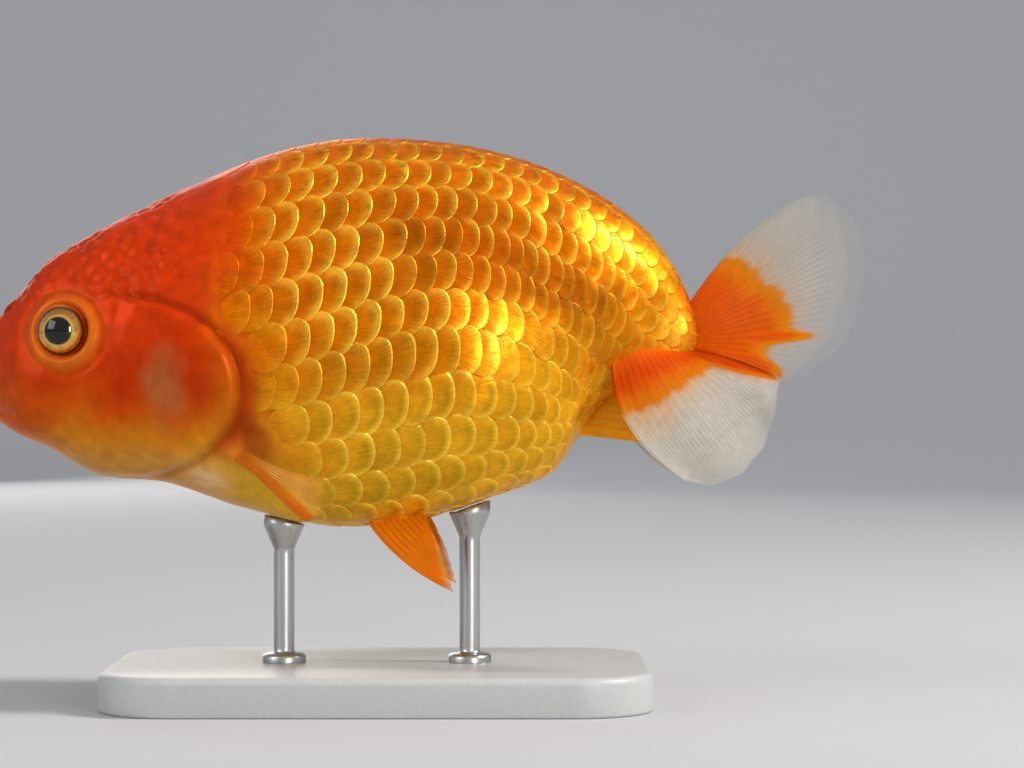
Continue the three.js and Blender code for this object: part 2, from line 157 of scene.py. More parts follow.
def rgb(red, green, blue):
    """A linear colour from screen values of 0 to 255."""
    c = np.array([red, green, blue]) / 255
    return np.where(c <= 0.04045, c / 12.92, ((c + 0.055) / 1.055) ** 2.4)


def smooth(low, high, x):
    """A smooth step from 0 at low to 1 at high."""
    f = np.clip((np.asarray(x, float) - low) / (high - low), 0, 1)
    return f * f * (3 - 2 * f)


def bump(distance, width):
    """A soft bump of height 1 and the given half width."""
    return np.exp(-((distance / width) ** 2))


def mix(a, b, share):
    """Blends two colours or fields by a share of 0 to 1."""
    return mix_numbers(a, b, np.asarray(share, float)[..., None])


def mix_numbers(a, b, share):
    """Blends two numbers or fields of numbers by a share of 0 to 1."""
    return a * (1 - share) + b * share


def paint(colour, *layers):
    """A colour with layers laid over it in turn, each one a colour and its share."""
    for layer, share in layers:
        colour = mix(colour, layer, share)
    return colour


def spline(rows, s):
    """The smooth curve through rows of numbers, at fractional row numbers."""
    i = np.clip(np.floor(s).astype(int), 0, len(rows) - 2)
    f = np.expand_dims(s - i, tuple(range(1 - rows.ndim, 0)))
    p0, p1, p2, p3 = (rows[np.clip(i + k, 0, len(rows) - 1)] for k in (-1, 0, 1, 2))
    return 0.5 * (2 * p1 + (p2 - p0) * f + (2 * p0 - 5 * p1 + 4 * p2 - p3) * f**2
                  + (3 * p1 - p0 - 3 * p2 + p3) * f**3)


def away(points, x, z, long=1, tall=1, lean=0):
    """The side-view distance from (x, z); long, tall and lean stretch and tilt the spot round that place."""
    dx, dz = points[..., 0] - x, points[..., 2] - z
    return np.hypot((dx + lean * dz) / long, dz / tall)


def spot(points, x, z, size, **stretch):
    """A soft side-view spot on both flanks."""
    return bump(away(points, x, z, **stretch), size)


def mirrored(points):
    """Places with the left side folded onto the right one."""
    return np.concatenate([points[..., :1], np.abs(points[..., 1:2]), points[..., 2:]], -1)


def near(points, place, size):
    """A soft ball round a place and round its mirror image."""
    return bump(norm(mirrored(points) - place, axis=-1), size)


def unit(vectors):
    """Vectors at length 1."""
    return vectors / np.maximum(norm(vectors, axis=-1, keepdims=True), 1e-9)


def wavy(points, size, seed=0):
    """A smooth noise in space, roughly -1 to 1, with features of about the given size."""
    turn = np.random.default_rng(seed)
    total = np.zeros(points.shape[:-1])
    for octave in range(3):
        for _ in range(4):
            direction = turn.normal(size=3)
            direction *= 2.4 * 1.9**octave / size / norm(direction)
            total += np.sin(points @ direction + turn.uniform(0, 6.3)) * 0.6**octave
    return total / 3.4


def make_mesh(name, vertices, faces, tint=None, numbers=None, uv=None, flat_faces=None):
    """A smooth mesh object from millimetre vertices, with its colours, named numbers and OFBake map."""
    metres = np.asarray(vertices, float).reshape(-1, 3) * 0.001
    mesh = bpy.data.meshes.new(name)
    mesh.from_pydata(metres.tolist(), [], np.asarray(faces).tolist())
    mesh.shade_smooth()
    if flat_faces is not None:
        mesh.attributes.new("sharp_face", "BOOLEAN", "FACE").data.foreach_set("value", flat_faces)
    if tint is not None:
        rgba = np.ones((len(metres), 4))
        rgba[:, :3] = np.clip(tint.reshape(-1, 3), 0, 1)
        mesh.color_attributes.new("Tint", "FLOAT_COLOR", "POINT").data.foreach_set("color", rgba.ravel())
    for key, values in (numbers or {}).items():
        mesh.attributes.new(key, "FLOAT", "POINT").data.foreach_set("value", np.ravel(values))
    if uv is not None:
        mesh.uv_layers.new(name="OFBake").data.foreach_set("uv", np.ravel(uv))
    thing = bpy.data.objects.new(name, mesh)
    bpy.context.collection.objects.link(thing)
    return thing


def grid_faces(rows, columns, offset=0, flip=False):
    """Quads over a grid of vertices stored row by row."""
    i, j = np.meshgrid(np.arange(rows - 1), np.arange(columns - 1), indexing="ij")
    a = (i * columns + j + offset).ravel()
    quads = np.stack([a, a + 1, a + columns + 1, a + columns], 1)
    return quads[:, ::-1] if flip else quads


def grid_places(rows, columns):
    """How far along and across a grid each of its vertices lies, from 0 to 1."""
    return np.meshgrid(np.linspace(0, 1, rows), np.linspace(0, 1, columns), indexing="ij")


def wrapped_mesh(name, points, tint=None, numbers=None, lengthwise=False):
    """A closed surface from a grid whose edges meet; its map runs across the grid, or lengthwise."""
    rows, columns = points.shape[:2]
    faces = grid_faces(rows, columns)
    along, across = grid_places(rows, columns)
    uv = np.stack([along, across] if lengthwise else [across, along], -1).reshape(-1, 2)[faces]
    thing = make_mesh(name, points, faces, tint, numbers, uv)
    work = bmesh.new()
    work.from_mesh(thing.data)
    bmesh.ops.remove_doubles(work, verts=work.verts, dist=2e-7)
    bmesh.ops.recalc_face_normals(work, faces=work.faces)
    work.to_mesh(thing.data)
    work.free()
    return thing


def curve(points, u):
    """A centripetal Catmull-Rom curve through points, as the solids use."""
    p = np.asarray(points, float)
    p = np.vstack([2 * p[0] - p[1], p, 2 * p[-1] - p[-2]])
    n = len(p) - 3
    i = np.minimum((u * n).astype(int), n - 1)
    w = (u * n - i)[:, None]
    p0, p1, p2, p3 = (p[i + k] for k in range(4))
    pairs = ((p0, p1), (p1, p2), (p2, p3))
    d0, d1, d2 = (np.sqrt(norm(b - a, axis=1))[:, None] for a, b in pairs)
    t1 = ((p1 - p0) / d0 - (p2 - p0) / (d0 + d1) + (p2 - p1) / d1) * d1
    t2 = ((p2 - p1) / d1 - (p3 - p1) / (d1 + d2) + (p3 - p2) / d2) * d1
    return p1 + t1 * w + (3 * (p2 - p1) - 2 * t1 - t2) * w**2 + (2 * (p1 - p2) + t1 + t2) * w**3


# ---- the body's surface


def smooth_body(s, a):
    """Points of the plain body: a runs from 0 at the back to pi at the belly, negative on the left."""
    s, a = np.broadcast_arrays(np.asarray(s, float), np.asarray(a, float))
    top_x, top_z, low_x, low_z, half = np.moveaxis(spline(STATIONS, s), -1, 0)
    squareness = SQUARENESS[0] + (SQUARENESS[1] - SQUARENESS[0]) * smooth(2, HEAD_END, s)
    power = 2 / squareness
    c, n = np.cos(a), np.sin(a)
    level = 0.5 * (1 + np.sign(c) * np.abs(c) ** power)
    height = level ** (math.log(WIDEST_AT) / math.log(0.5))
    return np.stack([
        low_x + (top_x - low_x) * height,
        np.sign(n) * np.maximum(half, 0.05) * np.abs(n) ** power,
        low_z + (top_z - low_z) * height,
    ], -1)


def body_surface(s, a):
    """Points of the swollen body and its outward normals."""
    s, a = np.broadcast_arrays(np.asarray(s, float), np.asarray(a, float))
    step = 0.02
    along = smooth_body(np.minimum(s + step, LAST), a) - smooth_body(np.maximum(s - step, 0), a)
    around = smooth_body(s, a + step) - smooth_body(s, a - step)
    normal = unit(np.cross(along, around))
    point = smooth_body(s, a)
    rise = np.zeros(s.shape)
    for x, y, z, radius, height in SWELLINGS:
        squared = np.sum((mirrored(point) - (x, y, z)) ** 2, -1)
        rise += height * np.exp(-2 * squared / radius**2)
    return point + normal * rise[..., None], normal


# ---- colours of the fish

RED = rgb(204, 50, 2)
ORANGE = rgb(218, 92, 2)
GOLD = rgb(226, 140, 10)
YELLOW = rgb(242, 172, 12)
OLIVE = rgb(164, 124, 18)
BELLY = rgb(255, 198, 36)
PALE = rgb(226, 178, 112)
RIM_GOLD = rgb(252, 184, 52)
BLACK = rgb(0, 0, 0)


def head_edge(points):
    """Where the bare skin of the head ends and the scales begin, as x at a place's height."""
    z = points[..., 2]
    level = np.clip(1 - ((z - GILL_Z) / (GILL_HEIGHT + 1.5)) ** 2, 0, 1)
    gill = GILL_X + (GILL_LENGTH + 1.8) * np.sqrt(level)
    nape = -23.9 + 2.2 * bump(points[..., 1], 7) + 1.4 * smooth(84, 60, z) + 1.6 * wavy(points, 3.4, 32)
    nape += 1.3 * wavy(points, 12, 36)
    return np.maximum(gill, nape) + 0.7 * wavy(points, 7, 31)


def head_colours(points):
    """The colours of the bare head, with painted shade on the lower cheek."""
    side, z = np.abs(points[..., 1]), points[..., 2]
    mottle = wavy(points, 7, 11)
    cheek = smooth(6, 10, side)
    front_spot = bump(away(points, -37.6, 49.2, tall=1.4) + 0.8 * mottle, 3.2)
    rear_spot = bump(away(points, -25.2, 48.4, tall=1.4) + 0.8 * mottle, 3.2)
    patch = smooth(1.4, 0.2, away(points, -31.4, 48.2, long=3.2, tall=6.6) + 0.25 * wavy(points, 4, 14))
    around_eye = bump(away(points, EYE["x"], EYE["z"]) - 4.8, 1.3) * smooth(8, 12, side)
    throat = smooth(9, 3, side) * smooth(42, 36, z)
    return paint(
        rgb(224, 136, 24),
        (rgb(218, 88, 2), smooth(39, 47, z + 2.0 * mottle)),
        (RED, smooth(44, 55, z + 3.0 * mottle)),
        (rgb(232, 166, 74), 0.8 * smooth(40.5, 36.5, z + mottle)),
        (rgb(196, 40, 0), 0.85 * front_spot * cheek),
        (rgb(196, 40, 0), 0.85 * rear_spot * cheek),
        (rgb(176, 104, 58), 0.7 * patch * cheek),
        # Painted shade: the lower cheek is darkened.
        (BLACK, 0.16 * smooth(58, 50, z) * cheek),
        (rgb(224, 128, 30), 0.55 * around_eye),
        (PALE, 0.7 * throat),
    )


def breast(points):
    """1 low down behind the head, where the scales are sunk in smooth skin."""
    return smooth(-5, -13, points[..., 0]) * smooth(45, 39, points[..., 2])


def axil(points):
    """1 in the bare red hollow behind the root of the pectoral fin."""
    return spot(points, -17.8, 40.8, 3.7, tall=1.2, lean=0.3) * smooth(6, 11, np.abs(points[..., 1]))


def fin_base(points):
    """1 on the fleshy shoulder that carries the pectoral fin."""
    return near(points, (-20.9, 17.3, 39.5), 1.9)


def valley_shade(points):
    """1 along the hollow between the back and the belly, which the colours darken and dull as painted shade.
    """
    x, z = points[..., 0], points[..., 2]
    return bump(z - 76.5 + 0.45 * x, 6) * smooth(-4, 8, x) * smooth(42, 32, x)


def trunk_colours(points):
    """The base colour of the scaled body with its painted highlights and shade, without the pattern of the
    single scales.
    """
    side, z = np.abs(points[..., 1]), points[..., 2]
    return paint(
        BELLY,
        (GOLD, smooth(38, 54, z + 2 * wavy(points, 14, 1))),
        (ORANGE, 0.48 * smooth(52, 76, z + 3 * wavy(points, 12, 2))),
        (RED, 0.45 * smooth(8, 2, side) * smooth(58, 70, z)),
        (BLACK, 0.06),
        # Painted highlights over a slightly yellower tone: a yellow glint on the upper rear back and a bright
        # golden glint down the belly's bulge.
        (YELLOW, 0.8 * spot(points, 42, 69, 7, long=1.3)),
        (rgb(255, 196, 30), 0.65 * spot(points, 23, 50, 7, tall=1.7, lean=0.2)),
        # Painted shade: the hollow between the back and the belly is darkened to a brownish orange.
        (rgb(140, 74, 3), 0.9 * valley_shade(points)),
        (OLIVE, 0.25 * spot(points, 34, 54, 7, long=1.2)),
        (OLIVE, 0.35 * spot(points, 3, 38, 6.5, long=1.8)),
        # Painted shade low on the front of the belly.
        (BLACK, 0.18 * spot(points, -9, 38, 7, tall=0.8)),
        (ORANGE, 0.4 * smooth(0.0, 1.0, wavy(points, 8, 5)) * smooth(34, 52, z)),
    )


def markings_and_painted_light(points):
    """The colour by place that the skin and its scales share, with painted shade and highlights among the
    markings.
    """
    x, side, z = np.moveaxis(mirrored(points), -1, 0)
    nape = smooth(-10, -26, x + 0.3 * (z - 80) + 2.2 * wavy(points, 5, 12)) * smooth(56, 72, z)
    slot = bump(gill_place(points) - 1.10, 0.10) * smooth(36, 41, z) * smooth(60, 50, z) * smooth(-30, -24, x)
    isthmus = bump(np.hypot((x + 25.5) / 1.8, z - 34.8 + 0.2 * (x + 25.5)), 1.7)
    return paint(
        head_colours(points),
        (trunk_colours(points), smooth(-8, 9, x - head_edge(points))),
        (RED, 0.9 * nape),
        # A red band in the slot behind the gill cover, darkened with painted shade.
        (rgb(160, 38, 0), 0.9 * slot * smooth(6, 11, side)),
        # The red of the hollow behind the pectoral fin, darkened with painted shade.
        (rgb(140, 20, 0), np.clip(1.2 * axil(points), 0, 1)),
        (rgb(222, 96, 40), 0.8 * fin_base(points)),
        (rgb(246, 200, 148), 0.9 * isthmus),
        (rgb(218, 132, 22), 0.7 * spot(points, -12, 40, 4, long=1.6)),
        (rgb(214, 170, 48), 0.6 * spot(points, -18, 35, 3, long=1.5)),
        (rgb(224, 84, 3), 0.6 * smooth(42, 49, x) * smooth(5, 2, side) * smooth(55, 60, z)),
        # A painted highlight: a bright yellow glint high on the tail stalk.
        (rgb(255, 222, 60), 0.9 * spot(points, 46, 58, 2.6, tall=1.3)),
    )


# ---- skin


def scaled_share(points, s):
    """1 where scales cover the skin, 0 on the bare head and at the very end of the stalk."""
    bare = np.maximum(smooth(0.6, 1.0, breast(points)), smooth(0.2, 0.5, axil(points)))
    return smooth(-2.2, 2.6, points[..., 0] - head_edge(points)) * smooth(14.7, 14.2, s) * (1 - bare)


def gill_place(points):
    """How far out a point lies from the gill cover's middle, where 1 is its edge."""
    x, z = points[..., 0], points[..., 2]
    back = np.maximum(x - GILL_X, 0) / GILL_LENGTH
    return np.hypot(back, (z - GILL_Z) / GILL_HEIGHT) + 0.014 * wavy(points, 8, 33)


def nostril_distance(points):
    """The distance from the axis of the nearer nostril."""
    offset = mirrored(points) - NOSTRIL["place"]
    depth = offset @ np.array(NOSTRIL["axis"])
    return np.sqrt(np.maximum(np.sum(offset**2, -1) - depth**2, 0)) + 9 * smooth(2, 4, np.abs(depth))


def line_distance(points, line):
    """The side-view distance from points to a line of (x, z) corners."""
    places = points[..., [0, 2]]
    corners = np.array(line, float)
    best = np.full(points.shape[:-1], np.inf)
    for start, step in zip(corners[:-1], np.diff(corners, axis=0)):
        f = np.clip(((places - start) @ step) / (step @ step), 0, 1)
        best = np.minimum(best, norm(places - start - f[..., None] * step, axis=-1))
    return best


def pebbles(points, share):
    """The soft raspberry bumps of the headgrowth, where share allows them."""
    apart, tries = 1.9, 2600
    places = points.reshape(-1, 3)
    centres = []
    for candidate in rng.permutation(places[share.ravel() > 0.15])[:tries]:
        if all(np.sum((candidate - c) ** 2) > apart**2 for c in centres):
            centres.append(candidate)
    rise = np.zeros(len(places))
    for centre, radius in zip(centres, rng.uniform(1.3, apart, len(centres))):
        squared = np.sum((places - centre) ** 2, 1) / radius**2
        rise = np.maximum(rise, np.clip(1 - squared, 0, 1) ** 0.8)
    return rise.reshape(share.shape) * share


def head_relief(points):
    """How far the features of the head raise the skin."""
    x, side, z = np.moveaxis(mirrored(points), -1, 0)
    flank = smooth(7, 10, side)
    eye = away(points, EYE["x"], EYE["z"])
    rise = flank * (0.55 * bump(eye - 4.75, 0.75) - 2.2 * smooth(4.1, 3.2, eye) - 0.22 * bump(eye - 6.6, 0.7))
    place = gill_place(points)
    behind = smooth(GILL_X - 6, GILL_X + 5, x) * smooth(4, 8, side)
    slit_depth = 0.2 + 0.3 * smooth(66, 54, z)
    rise += behind * (0.5 * smooth(1.02, 0.93, place) - slit_depth * bump(place - 1.05, 0.04))
    rise -= 0.22 * flank * bump(line_distance(points, CHEEK_FOLD), 1.1)
    rise -= 0.15 * flank * bump(line_distance(points, JAW_FOLD), 0.8)
    rise -= 0.35 * smooth(3, 5, side) * bump(line_distance(points, MOUTH_CORNER), 0.7)
    nostril = nostril_distance(points)
    rise += 0.4 * bump(nostril - 1.35, 0.45) - 1.1 * bump(nostril, 0.75)
    crown = smooth(59, 65, z) * smooth(-27, -33, x) * smooth(5.6, 7.4, eye + 20 * (1 - flank))
    rise += 0.42 * pebbles(points, crown)
    return rise + 0.05 * wavy(points, 2.2, 21)


def mouth_rings(angles):
    """The first rings of the skin, which lean forward a little at the top."""
    x, half_width, half_height = np.array(MOUTH).T[..., None]
    up = half_height * np.cos(angles)
    return np.stack([x + 0.25 * up, half_width * np.sin(angles), MOUTH_Z + up], -1)


def skin_piece():
    """The skin, from inside the mouth to the end of the tail stalk."""
    columns = 241
    angles = np.linspace(-math.pi, math.pi, 4001)
    crowd = np.cumsum(1 + 0.9 * bump(np.abs(angles) - 1.3, 0.5))  # more columns along the cheeks
    angles = np.interp(np.linspace(crowd[0], crowd[-1], columns), crowd, angles)
    start, fine_end, end = SKIN_SPAN
    stations = np.concatenate([np.linspace(start, fine_end, 225), np.linspace(fine_end, end, 121)[1:]])
    s, a = np.meshgrid(stations, angles, indexing="ij")
    body, normal = body_surface(s, a)
    share = scaled_share(body, s)
    rise = head_relief(body) * (1 - share) - COAT_DEPTH * share
    rise += 0.55 * near(body, VENT, 1.7) - 0.35 * axil(body) ** 2
    rise += 0.75 * fin_base(body)
    body = body + normal * rise[..., None]

    rings = np.concatenate([mouth_rings(angles), body[[0, 4]]])
    in_mouth = np.linspace(0, len(MOUTH), 49)[:-1]
    rows = spline(rings, in_mouth)
    last_ring = np.repeat(body[-1].mean(0)[None, None], columns, 1)
    points = np.concatenate([rows, body, last_ring])
    share = np.concatenate([np.zeros((len(rows), columns)), share, share[-1:]])
    in_mouth = np.concatenate([in_mouth, np.full(len(stations) + 1, len(MOUTH))])[:, None]

    x, side, z = np.moveaxis(mirrored(points), -1, 0)
    slit_shade = bump(gill_place(points) - 1.05, 0.035) * smooth(-42, -36, x) * smooth(3, 7, side)
    colour = paint(
        markings_and_painted_light(points),
        (rgb(222, 128, 60), 0.6 * bump(in_mouth - 4.8, 1.7)),
        (rgb(90, 20, 10), smooth(3.2, 1.5, in_mouth)),
        (rgb(70, 16, 3), 0.85 * bump(nostril_distance(points), 0.8)),
        # Painted shade along the gill cover's rear slit.
        (rgb(150, 40, 2), (0.35 + 0.35 * smooth(44, 52, z)) * slit_shade),
        (rgb(196, 124, 70), 0.7 * near(points, VENT, 3.2)),
        (rgb(206, 80, 2), 0.6 * share),
    )
    return wrapped_mesh("skin", points, colour, lengthwise=True)


# ---- scales

ROWS = 13  # rows of scales on each flank
UPPER_ROWS = 7  # the rows that keep their height towards the tail
MAP_START, MAP_LENGTH = 4.0, 11  # the stations that the bake's map covers
NET_END = 14.8  # the station where the net of scales ends


class Lattice:
    """The curved net on which the scales lie: stations along the fish, row numbers down its flank."""

    def __init__(self):
        self.stations = np.linspace(MAP_START, NET_END, 217)
        self.rows = np.linspace(0, ROWS, 131)
        angles = np.linspace(1e-3, math.pi - 1e-3, 241)
        points, _ = body_surface(*np.meshgrid(self.stations, angles, indexing="ij"))
        arcs = np.cumsum(norm(np.diff(points, axis=1), axis=2), 1)
        arcs = np.concatenate([np.zeros((len(points), 1)), arcs], 1)
        upper = 0.585 - 0.098 * smooth(5.6, 8.4, self.stations) + 0.293 * smooth(8.2, 12.5, self.stations)
        upper, past = upper[:, None], self.rows - UPPER_ROWS
        lower = upper + past / (ROWS - UPPER_ROWS) * (1 - upper)
        shares = np.where(past <= 0, self.rows / UPPER_ROWS * upper, lower)
        self.angles = np.array([np.interp(share * arc[-1], arc, angles) for share, arc in zip(shares, arcs)])

    def angle(self, s, row):
        """The body angle at stations and row numbers, carried past the midlines by symmetry."""
        over = row > ROWS
        folded = np.where(over, 2 * ROWS - row, np.abs(row))
        stations, rows = self.stations, self.rows
        i = np.clip((s - stations[0]) / (stations[1] - stations[0]), 0, len(stations) - 1.001)
        j = np.clip(folded / (rows[1] - rows[0]), 0, len(rows) - 1.001)
        i0, j0 = i.astype(int), j.astype(int)
        fi, fj = i - i0, j - j0
        t = self.angles
        value = ((1 - fi) * (1 - fj) * t[i0, j0] + fi * (1 - fj) * t[i0 + 1, j0]
                 + (1 - fi) * fj * t[i0, j0 + 1] + fi * fj * t[i0 + 1, j0 + 1])
        value = np.where(over, 2 * math.pi - value, value)
        return np.where(row < 0, -value, value)


def scale_spacing(points):
    """The distance between scales along a row, by place."""
    x, z = points[..., 0], points[..., 2]
    return (
        3.7 - 0.95 * smooth(-12, 42, x)
        + 0.45 * smooth(50, 40, z) * smooth(-14, -4, x) * smooth(26, 16, x)
        - 0.7 * smooth(20, 34, x) * smooth(58, 46, z)
        - 0.75 * bump(z - 76 + 0.45 * x, 7) * smooth(2, 12, x) * smooth(44, 34, x)
        - 0.6 * smooth(-8, -20, x) * smooth(44, 34, z)
    )


# A scale's outline in shares of the row's spacing and height.
REAR, FRONT, HALF_HEIGHT = 0.80, 1.05, 0.585
RINGS = np.array([0.35, 0.62, 0.80, 0.91, 1.0])
SECTORS = 24
SCALE_THICKNESS = 0.06


class ScalePattern:
    """The net of one scale, in shares of its place on the lattice, with its underside and map."""

    def __init__(self):
        turns = np.linspace(0, 2 * math.pi, SECTORS, endpoint=False)
        ring = RINGS[:, None] * np.ones(SECTORS)
        p = ring * np.where(np.cos(turns) > 0, REAR, FRONT) * np.cos(turns)
        q = ring * HALF_HEIGHT * np.sign(np.sin(turns)) * np.abs(np.sin(turns)) ** 0.88
        self.p, self.q, self.reach = (np.concatenate([[0], f.ravel(), f[-1], [0]]) for f in (p, q, ring))
        self.size = len(self.p)
        self.under = np.arange(self.size) >= self.size - SECTORS - 1
        faces = []
        for k in range(SECTORS):
            n = (k + 1) % SECTORS
            faces.append((0, 1 + k, 1 + n))
            for inner in range(1, self.size - 1 - SECTORS, SECTORS):
                outer = inner + SECTORS
                faces += [(inner + k, outer + k, outer + n), (inner + k, outer + n, inner + n)]
            faces.append((self.size - 1, outer + n, outer + k))
        self.faces = np.array(faces)
        self.low = self.under[self.faces].any(1)
        # In the bake's map the shown side fills its cell, and the hidden side has a small spot beside it.
        middle = 0.5 * (REAR - FRONT)
        shown = np.stack([0.86 * (self.p - middle) / (REAR + FRONT) - 0.05, 0.43 * self.q / HALF_HEIGHT], -1)
        hidden = np.stack([0.455 + 0.02 * self.p, 0.02 * self.q], -1)
        self.map = np.where(self.low[:, None, None], hidden[self.faces], shown[self.faces])


def scale_rows(side, lattice):
    """One flank's scales: number along the row, row, station and the row's count by station."""
    places = []
    for row in range(ROWS):
        angle = side * lattice.angle(lattice.stations, np.full(len(lattice.stations), row + 0.5))
        line, _ = body_surface(lattice.stations, angle)
        steps = norm(np.diff(line, axis=0), axis=1)
        count = np.concatenate([[0], np.cumsum(steps / scale_spacing(0.5 * (line[1:] + line[:-1])))])
        phase = np.interp(-5.0, line[:, 0], count) + (0.5 if row % 2 else 0.0)
        numbers = np.arange(math.ceil(count[0] + 1 - phase), math.floor(count[-1] - 0.5 - phase) + 1) + phase
        for number in numbers:
            station = np.interp(number, count, lattice.stations)
            centre = np.array([np.interp(station, lattice.stations, line[:, k]) for k in range(3)])
            bare = centre[0] < head_edge(centre) + 0.9 or station > 14.4
            bare = bare or breast(centre) > 0.85 or axil(centre) > 0.3
            if not bare and norm(centre - VENT) > 2.6:
                places.append((number, row, station, count))
    return places


def scale_lift(net, centre, row, tilt):
    """How high the net of a scale lies over the body's surface: sunk in front, free at its rear edge."""
    p, q, reach = net.p, net.q / HALF_HEIGHT, net.reach
    slope = (p + FRONT) / (REAR + FRONT)
    lift = -0.32 + 0.33 * slope + 0.045 * (1 - reach**2) - 0.05 * q**2 * smooth(0.2, 0.9, slope)
    lift += tilt[0] * q + tilt[1] * p
    local = np.clip(scale_spacing(centre) / 3.7, 0.4, 1.15) * (0.4 + 0.6 * smooth(-0.6, 1.6, row))
    local *= 1 - 0.7 * breast(centre)
    past_edge = centre[0] - head_edge(centre)
    first = max(smooth(4.5, 1.0, past_edge), smooth(0.02, 0.2, axil(centre)))
    lift = (lift + 0.12) * local - 0.12 - 0.08 * smooth(8, 0.0, past_edge)
    lift -= (0.20 + 0.16 * smooth(68, 60, centre[2])) * first * (1 - slope)
    return np.where(net.under, np.where(reach > 0.5, lift - SCALE_THICKNESS, -0.6), lift)


def scale_tints(net, points, row, tone):
    """The colours and metal shine of one scale, from its dark front, partly painted shade, to its golden rear
    edge.
    """
    centre = points[0]
    p, q, reach = net.p, net.q / HALF_HEIGHT, net.reach
    rear = smooth(-0.2, 0.5, p)
    low = smooth(58, 42, centre[2] - 0.2 * max(centre[0], 0)) * smooth(44, 28, centre[0])
    grown = smooth(0, 12, centre[0] - head_edge(centre))
    calm = (1 - 0.8 * breast(centre)) * grown * (0.45 + 0.55 * smooth(-0.6, 1.6, row))
    calm *= (1 - 0.5 * spot(centre, 37, 54, 9))
    gilt = smooth(0.42, 0.97, reach + 0.06 * wavy(points, 1.6, 8)) ** 1.3 * smooth(-0.35, 0.35, p - 0.12 * q)
    # The gold crescents are toned down along the valley as painted shade.
    gilt *= (1 - 0.65 * valley_shade(points)) * np.clip(0.78 + 0.20 * tone, 0, 1)
    dull_ring = bump(reach - 0.55, 0.26) * smooth(-0.2, 0.4, p + 0.3 * q)
    colour = paint(
        markings_and_painted_light(points),
        # The dark orange front is partly the scale's own colour and partly painted shade under the rear edge
        # of the scale ahead.
        (rgb(200, 84, 0), (0.60 - 0.26 * low) * calm * (1 - 0.7 * rear)),
        (RIM_GOLD, (1 - low) * calm * gilt),
        (OLIVE, (0.55 + 0.14 * tone) * low * calm * dull_ring),
        (rgb(252, 208, 76), 0.6 * low * calm * smooth(0.74, 0.98, reach) * smooth(-0.5, 0.2, p)),
    )
    # Less metal shine and a darker colour along the valley are painted shade.
    shine = 0.32 + 0.28 * rear * (1 - 0.5 * low) - 0.15 * breast(centre) - 0.15 * valley_shade(centre)
    shine = shine * (0.4 + 0.6 * grown) + 0.05 * tone * grown
    return colour * (1 + 0.08 * tone * grown - 0.14 * valley_shade(centre)), np.clip(shine, 0, 1)


def scales_piece(name, side, lattice):
    """All the scales of one flank, each one a thin closed shell lying over the next."""
    net = ScalePattern()
    chance = np.random.default_rng(40 + side)
    places = scale_rows(side, lattice)
    parts = []
    for index, (number, row, station, count) in enumerate(places):
        shift = chance.normal(0, [0.03, 0.02])
        s = np.interp(number + shift[0] + net.p, count, lattice.stations)
        points, normal = body_surface(s, side * lattice.angle(s, row + 0.5 + shift[1] + net.q))
        lift = scale_lift(net, points[0], row, chance.normal(0, [0.025, 0.03]))
        tint, shine = scale_tints(net, points, row, chance.normal(0, 1))
        fan = np.arctan2(net.q, net.p + 1.3) * 9 + index * 3.1
        slant = chance.normal(0, 0.00014, 2) * smooth(0, 10, points[0, 0] - head_edge(points[0]))
        lean = slant[0] * net.p + slant[1] * net.q
        before, after = np.interp([number - 0.5, number + 0.5], count, lattice.stations)
        cell = np.array([(after - before) / MAP_LENGTH, 1 / ROWS])
        in_map = np.array([(station - MAP_START) / MAP_LENGTH, (row + 0.5) / ROWS]) + net.map * cell
        parts.append((points + normal * lift[:, None], tint, shine, fan, lean, in_map))
    vertices, tints, shines, fans, leans, uv = (np.concatenate(part) for part in zip(*parts))
    faces = (net.faces + np.arange(len(places))[:, None, None] * net.size).reshape(-1, 3)
    if side < 0:
        faces, uv = faces[:, ::-1], uv[:, ::-1]
    numbers = {"shine": shines, "fan": fans, "lean": leans}
    return make_mesh(name, vertices, faces, tints, numbers, uv, np.tile(net.low, len(places)))


# ---- fins


def fin_sheet(fin, side, u, t):
    """Points of a fin's middle sheet: u runs across the rays, t along them."""
    mirror = np.array([1, side, 1])
    root, rim, bend = (curve(np.array(fin[key]) * mirror, u)[:, None] for key in ("root", "rim", "bend"))
    t = t[..., None]
    knee = 0.5 * (root + rim) + bend
    points = root * (1 - t) ** 2 + knee * 2 * t * (1 - t) + rim * t**2
    points[..., 1] += side * fin["ripple"] * t[..., 0] ** 2 * np.sin(2 * math.pi * fin["waves"] * u)[:, None]
    return points


def ray_strength(u, t, rays, fork=(0.3, 0.62)):
    """1 on a fin ray and 0 between rays; each ray forks twice on its way out."""
    f = np.abs((u * rays) % 1 - 0.5)
    first = np.abs(f - 0.25 * smooth(fork[0], fork[0] + 0.35, t))
    second = np.abs(first - 0.125 * smooth(fork[1], fork[1] + 0.3, t))
    return bump(second, 0.13 - 0.075 * smooth(0.2, 0.9, t))


